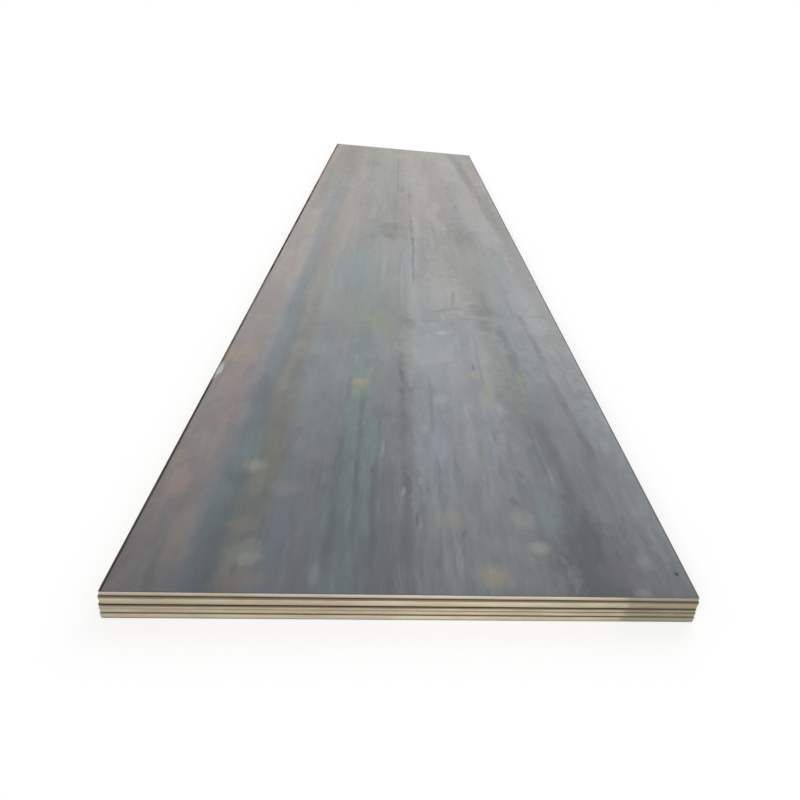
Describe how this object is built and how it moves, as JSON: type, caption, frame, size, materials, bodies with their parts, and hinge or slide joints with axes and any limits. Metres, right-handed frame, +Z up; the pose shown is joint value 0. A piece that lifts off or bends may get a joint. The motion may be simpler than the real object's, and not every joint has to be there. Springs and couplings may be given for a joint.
{
  "type": "steel plate stack",
  "caption": "Stack of large hot-rolled steel plates lying flat on each other, with blue-grey mill scale faces, bare sheared edges and narrow gaps between the plates.",
  "frame": {"origin": "on the floor, under the middle of the stack", "axes": "+X across the plates, +Y along the rolling direction and the length, +Z up"},
  "size_m": [1.52, 6.012, 0.0912],
  "materials": {
    "mill_scale_bottom": "hot-rolled mill scale, bare tan sheared edges",
    "mill_scale_fourth": "hot-rolled mill scale, bare tan sheared edges",
    "mill_scale_third": "hot-rolled mill scale, bare tan sheared edges",
    "mill_scale_second": "hot-rolled mill scale, bare tan sheared edges",
    "mill_scale_top": "hot-rolled mill scale with heat-tint bands along the edges, bare tan sheared edges"
  },
  "bodies": {
    "root": {"bottom_plate": "mill_scale_bottom", "fourth_plate": "mill_scale_fourth", "third_plate": "mill_scale_third", "second_plate": "mill_scale_second", "top_plate": "mill_scale_top"}
  },
  "joints": []
}
